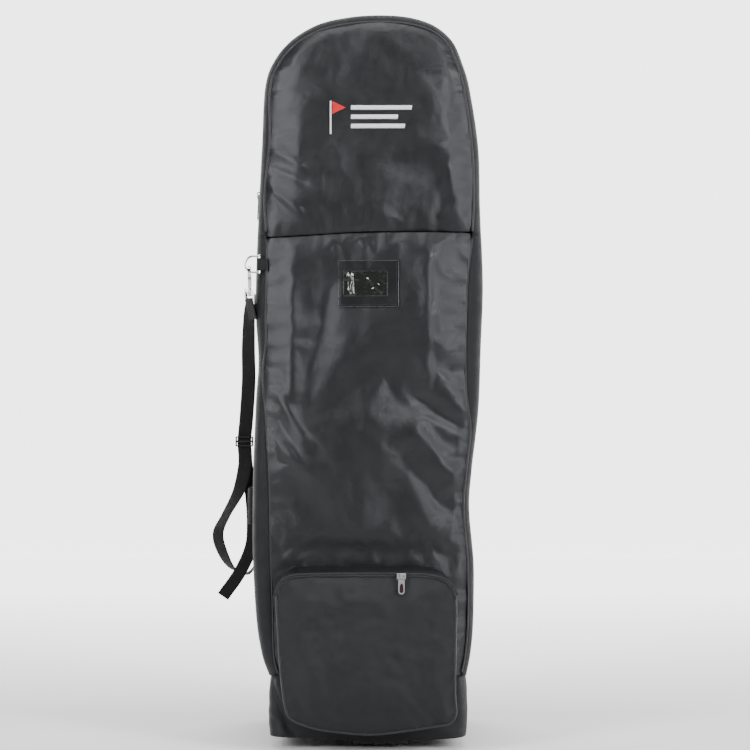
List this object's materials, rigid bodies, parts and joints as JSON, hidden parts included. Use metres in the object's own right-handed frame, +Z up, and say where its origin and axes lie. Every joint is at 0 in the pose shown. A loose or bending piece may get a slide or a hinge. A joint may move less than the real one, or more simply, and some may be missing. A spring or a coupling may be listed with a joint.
{
  "type": "golf travel case",
  "caption": "Tall wheeled soft travel cover for a golf bag, with an arched zipped hood, card window, front box pocket, reinforced base and a clipped shoulder strap.",
  "frame": {"origin": "on the floor at the centre of the bag's base", "axes": "+Z up, -Y out of the bag's front, +X to the right as seen from the front"},
  "size_m": [0.4772, 0.401, 1.2711],
  "materials": {
    "shell_fabric": "black coated nylon with a satin sheen",
    "boot_fabric": "tougher black coated polyester",
    "piping": "fabric-covered piping cord",
    "zip_tape": "woven zipper tape",
    "zip_coil": "nylon zipper coil",
    "zip_metal": "bright plated zipper slider",
    "zip_pull": "dark enamelled pull tab with a plated rim",
    "foam": "closed-cell foam padding",
    "webbing": "woven nylon webbing",
    "grip": "moulded rubber grip",
    "hardware": "nickel plated die-cast metal",
    "adjuster": "moulded acetal slide",
    "window_vinyl": "glossy black vinyl frame",
    "window_film": "clear vinyl film",
    "name_card": "dark blank name card",
    "thread_white": "white satin-stitch embroidery",
    "thread_red": "red satin-stitch embroidery",
    "base_board": "rigid plastic stiffener",
    "base_plastic": "black moulded polypropylene",
    "tyre": "soft black tyre rubber",
    "wheel_hub": "grey moulded wheel hub",
    "axle_steel": "zinc plated steel"
  },
  "bodies": {
    "case": {"front_panel": "shell_fabric", "back_panel": "shell_fabric", "left_gusset": "shell_fabric", "right_gusset": "shell_fabric", "crown_gusset": "shell_fabric", "main_zip_coil": "zip_coil", "front_piping": "piping", "back_piping": "piping", "main_zip_tape_body": "zip_tape", "crown_foam": "foam", "base_boot": "boot_fabric", "base_board": "base_board", "base_skid": "base_plastic", "housing_rivets": "axle_steel", "wheel_housing_left": "base_plastic", "wheel_housing_right": "base_plastic", "wheel_axles": "axle_steel", "pocket_band": "shell_fabric", "pocket_face": "shell_fabric", "pocket_piping": "piping", "pocket_zip_coil": "zip_coil", "window_frame": "window_vinyl", "window_film": "window_film", "name_card": "name_card", "upper_ring_tab": "webbing", "lower_ring_tab": "webbing", "side_handle": "webbing", "side_handle_grip": "grip", "tow_handle": "webbing", "tow_handle_grip": "grip"},
    "hood": {"hood_front": "shell_fabric", "hood_gusset": "shell_fabric", "hood_piping": "piping", "main_zip_tape_hood": "zip_tape", "hood_foam": "foam", "emblem_pole": "thread_white", "emblem_flag": "thread_red", "emblem_stripes": "thread_white"},
    "main_slider_left": {"main_slider_left": "zip_metal"},
    "main_pull_left": {"main_pull_left": "zip_pull"},
    "main_slider_right": {"main_slider_right": "zip_metal"},
    "main_pull_right": {"main_pull_right": "zip_pull"},
    "pocket_lid": {"pocket_lid": "shell_fabric"},
    "pocket_slider": {"pocket_slider": "zip_metal"},
    "pocket_pull": {"pocket_pull": "zip_pull"},
    "wheel_left": {"wheel_tyre_left": "tyre", "wheel_hub_left": "wheel_hub"},
    "wheel_right": {"wheel_tyre_right": "tyre", "wheel_hub_right": "wheel_hub"},
    "upper_ring": {"upper_d_ring": "hardware"},
    "lower_ring": {"lower_d_ring": "hardware"},
    "upper_hook": {"upper_hook": "hardware"},
    "lower_hook": {"lower_hook": "hardware"},
    "upper_gate": {"upper_gate": "hardware"},
    "lower_gate": {"lower_gate": "hardware"},
    "strap": {"upper_loop": "hardware", "lower_loop": "hardware", "strap_webbing": "webbing", "strap_tail": "webbing"},
    "adjuster": {"strap_adjuster": "adjuster"}
  },
  "joints": [
    {"name": "hood_open", "type": "hinge", "parent": "case", "child": "hood", "pos_m": [0, -0.1528, 0.8872], "axis": [1, 0, 0], "range_deg": [0, 110]},
    {"name": "main_slider_left_run", "type": "slide", "parent": "case", "child": "main_slider_left", "axis": [0.0562, 0, 0.9984], "range_m": [-0.05, 0.15]},
    {"name": "main_pull_left_tilt", "type": "hinge", "parent": "main_slider_left", "child": "main_pull_left", "pos_m": [-0.19393, -0.078, 0.96034], "axis": [0, 1, 0], "range_deg": [0, 120]},
    {"name": "main_slider_right_run", "type": "slide", "parent": "case", "child": "main_slider_right", "axis": [-0.0562, 0, 0.9984], "range_m": [-0.05, 0.15]},
    {"name": "main_pull_right_tilt", "type": "hinge", "parent": "main_slider_right", "child": "main_pull_right", "pos_m": [0.19393, -0.078, 0.96034], "axis": [0, -1, 0], "range_deg": [0, 120]},
    {"name": "pocket_lid_lift", "type": "hinge", "parent": "case", "child": "pocket_lid", "pos_m": [0, -0.1512, 0.317], "axis": [-1, 0, 0], "range_deg": [0, 70]},
    {"name": "pocket_slider_run", "type": "slide", "parent": "case", "child": "pocket_slider", "axis": [1, 0, 0], "range_m": [-0.09, 0.03]},
    {"name": "pocket_pull_tilt", "type": "hinge", "parent": "pocket_slider", "child": "pocket_pull", "pos_m": [0.057, -0.2142, 0.2984], "axis": [-1, 0, 0], "range_deg": [0, 100]},
    {"name": "wheel_left_roll", "type": "hinge", "parent": "case", "child": "wheel_left", "pos_m": [-0.15, 0.124, 0.033], "axis": [1, 0, 0], "continuous": true},
    {"name": "wheel_right_roll", "type": "hinge", "parent": "case", "child": "wheel_right", "pos_m": [0.15, 0.124, 0.033], "axis": [1, 0, 0], "continuous": true},
    {"name": "upper_ring_rock", "type": "hinge", "parent": "case", "child": "upper_ring", "pos_m": [-0.189, -0.153, 0.8335], "axis": [0, 0, 1], "range_deg": [-3, 3]},
    {"name": "lower_ring_rock", "type": "hinge", "parent": "case", "child": "lower_ring", "pos_m": [-0.196, 0.05, 0.3851], "axis": [0, 0, 1], "range_deg": [-3, 3]},
    {"name": "upper_hook_turn", "type": "hinge", "parent": "case", "child": "upper_hook", "pos_m": [-0.206, -0.153, 0.822], "axis": [0, 0.4127, -0.9109], "range_deg": [-4, 4]},
    {"name": "upper_gate_slide", "type": "slide", "parent": "upper_hook", "child": "upper_gate", "axis": [0, 0.4127, -0.9109], "range_m": [0, 0.008], "stiffness_N_per_m": 250, "springref_m": -0.002},
    {"name": "lower_hook_turn", "type": "hinge", "parent": "case", "child": "lower_hook", "pos_m": [-0.206, 0.05, 0.374], "axis": [0, 0.4127, -0.9109], "range_deg": [-4, 4]},
    {"name": "lower_gate_slide", "type": "slide", "parent": "lower_hook", "child": "lower_gate", "axis": [0, 0.4127, -0.9109], "range_m": [0, 0.008], "stiffness_N_per_m": 250, "springref_m": -0.002},
    {"name": "strap_swing", "type": "hinge", "parent": "upper_hook", "child": "strap", "pos_m": [-0.206, -0.153, 0.822], "axis": [0, 0.4127, -0.9109], "range_deg": [0, 30]},
    {"name": "adjuster_slide", "type": "slide", "parent": "strap", "child": "adjuster", "axis": [0.0354, -0.1181, 0.9924], "range_m": [-0.006, 0.006]}
  ]
}
